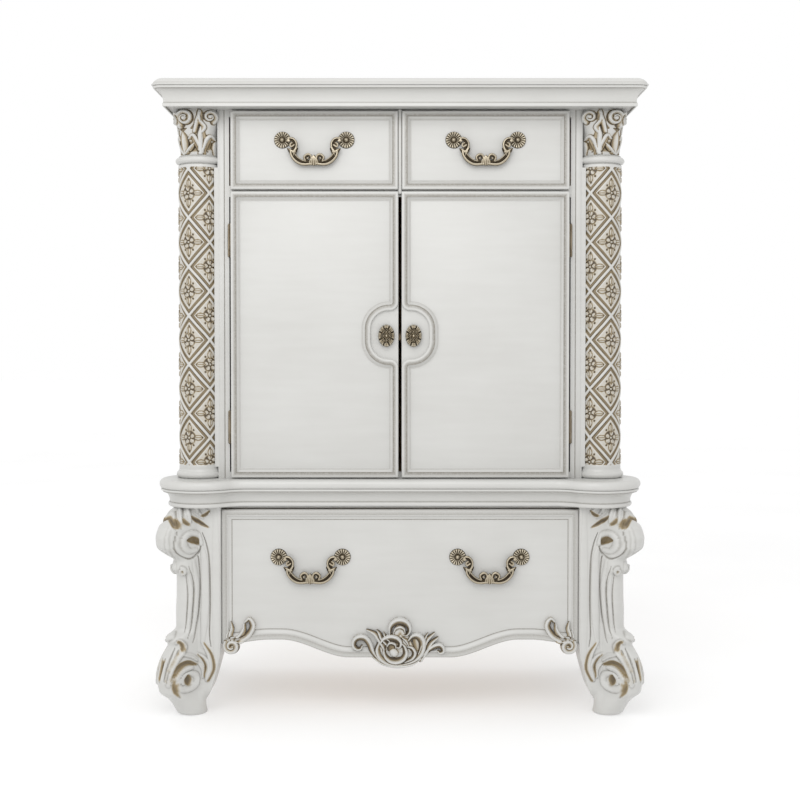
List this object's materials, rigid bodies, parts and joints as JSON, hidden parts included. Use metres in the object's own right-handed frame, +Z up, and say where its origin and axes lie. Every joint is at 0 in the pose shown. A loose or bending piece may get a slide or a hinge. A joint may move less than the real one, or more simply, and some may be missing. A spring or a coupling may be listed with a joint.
{
  "type": "armoire",
  "caption": "Tall painted armoire with a moulded cornice, carved corner columns, paired doors below drawers, and a wide lower drawer between scroll legs.",
  "frame": {"origin": "on the floor, at the centre of the bounding box", "axes": "+Z up, front towards -Y, +X to the viewer's right when facing the front"},
  "size_m": [1.22, 0.51, 1.586],
  "materials": {
    "pearl_paint": "satin pearl-white paint with a grey glaze in the mouldings",
    "pearl_carved": "pearl-white paint with brown-gold antiquing rubbed into the carving",
    "interior_wood": "clear matt lacquer",
    "antique_brass": "antiqued, dark in the recesses",
    "hinge_steel": "dull nickel"
  },
  "bodies": {
    "carcass": {"top_board": "pearl_paint", "cornice_moulding": "pearl_paint", "upper_side_left": "pearl_paint", "upper_side_right": "pearl_paint", "inner_sides": "interior_wood", "upper_back": "interior_wood", "face_stiles": "pearl_paint", "pilasters": "pearl_paint", "face_rails": "pearl_paint", "drawer_partition": "interior_wood", "dust_panel": "interior_wood", "cabinet_floor": "interior_wood", "shelf": "interior_wood", "shelf_pins": "hinge_steel", "column_left": "pearl_carved", "column_right": "pearl_carved", "capital_left": "pearl_carved", "capital_right": "pearl_carved", "column_rings": "pearl_paint", "column_bases": "pearl_paint", "waist_board": "pearl_paint", "waist_moulding": "pearl_paint", "lower_sides": "pearl_paint", "lower_back": "interior_wood", "lower_rail": "interior_wood", "lower_bottom": "interior_wood", "front_leg_left": "pearl_carved", "front_leg_right": "pearl_carved", "back_legs": "pearl_paint", "glides": "hinge_steel", "case_runners": "interior_wood", "hinge_frame_leaves": "hinge_steel", "door_catches": "hinge_steel"},
    "door_left": {"door_left_panel": "pearl_paint", "door_left_moulding": "pearl_paint", "door_left_knob": "antique_brass", "door_left_hinge_leaves": "hinge_steel"},
    "door_right": {"door_right_panel": "pearl_paint", "door_right_moulding": "pearl_paint", "door_right_knob": "antique_brass", "door_right_hinge_leaves": "hinge_steel"},
    "drawer_left": {"drawer_left_front": "pearl_paint", "drawer_left_box": "interior_wood", "drawer_left_bottom": "interior_wood", "drawer_left_pull": "antique_brass"},
    "drawer_right": {"drawer_right_front": "pearl_paint", "drawer_right_box": "interior_wood", "drawer_right_bottom": "interior_wood", "drawer_right_pull": "antique_brass"},
    "drawer_wide": {"drawer_wide_front": "pearl_paint", "drawer_wide_carving": "pearl_carved", "drawer_wide_box": "interior_wood", "drawer_wide_bottom": "interior_wood", "drawer_wide_pulls": "antique_brass"},
    "bail_upper_left": {"drawer_left_bail": "antique_brass"},
    "bail_upper_right": {"drawer_right_bail": "antique_brass"},
    "bail_wide_left": {"drawer_wide_bail_left": "antique_brass"},
    "bail_wide_right": {"drawer_wide_bail_right": "antique_brass"}
  },
  "joints": [
    {"name": "door_left_hinge", "type": "hinge", "parent": "carcass", "child": "door_left", "pos_m": [-0.43, -0.164, 0.953], "axis": [0, 0, -1], "range_deg": [0, 105]},
    {"name": "door_right_hinge", "type": "hinge", "parent": "carcass", "child": "door_right", "pos_m": [0.43, -0.164, 0.953], "axis": [0, 0, 1], "range_deg": [0, 105]},
    {"name": "drawer_left_slide", "type": "slide", "parent": "carcass", "child": "drawer_left", "axis": [0, -1, 0], "range_m": [0, 0.3]},
    {"name": "drawer_right_slide", "type": "slide", "parent": "carcass", "child": "drawer_right", "axis": [0, -1, 0], "range_m": [0, 0.3]},
    {"name": "drawer_wide_slide", "type": "slide", "parent": "carcass", "child": "drawer_wide", "axis": [0, -1, 0], "range_m": [0, 0.3]},
    {"name": "bail_upper_left_swing", "type": "hinge", "parent": "drawer_left", "child": "bail_upper_left", "pos_m": [-0.21475, -0.183, 1.43793], "axis": [-1, 0, 0], "range_deg": [0, 80]},
    {"name": "bail_upper_right_swing", "type": "hinge", "parent": "drawer_right", "child": "bail_upper_right", "pos_m": [0.21475, -0.183, 1.43793], "axis": [-1, 0, 0], "range_deg": [0, 80]},
    {"name": "bail_wide_left_swing", "type": "hinge", "parent": "drawer_wide", "child": "bail_wide_left", "pos_m": [-0.225, -0.191, 0.391], "axis": [-1, 0, 0], "range_deg": [0, 80]},
    {"name": "bail_wide_right_swing", "type": "hinge", "parent": "drawer_wide", "child": "bail_wide_right", "pos_m": [0.225, -0.191, 0.391], "axis": [-1, 0, 0], "range_deg": [0, 80]}
  ]
}
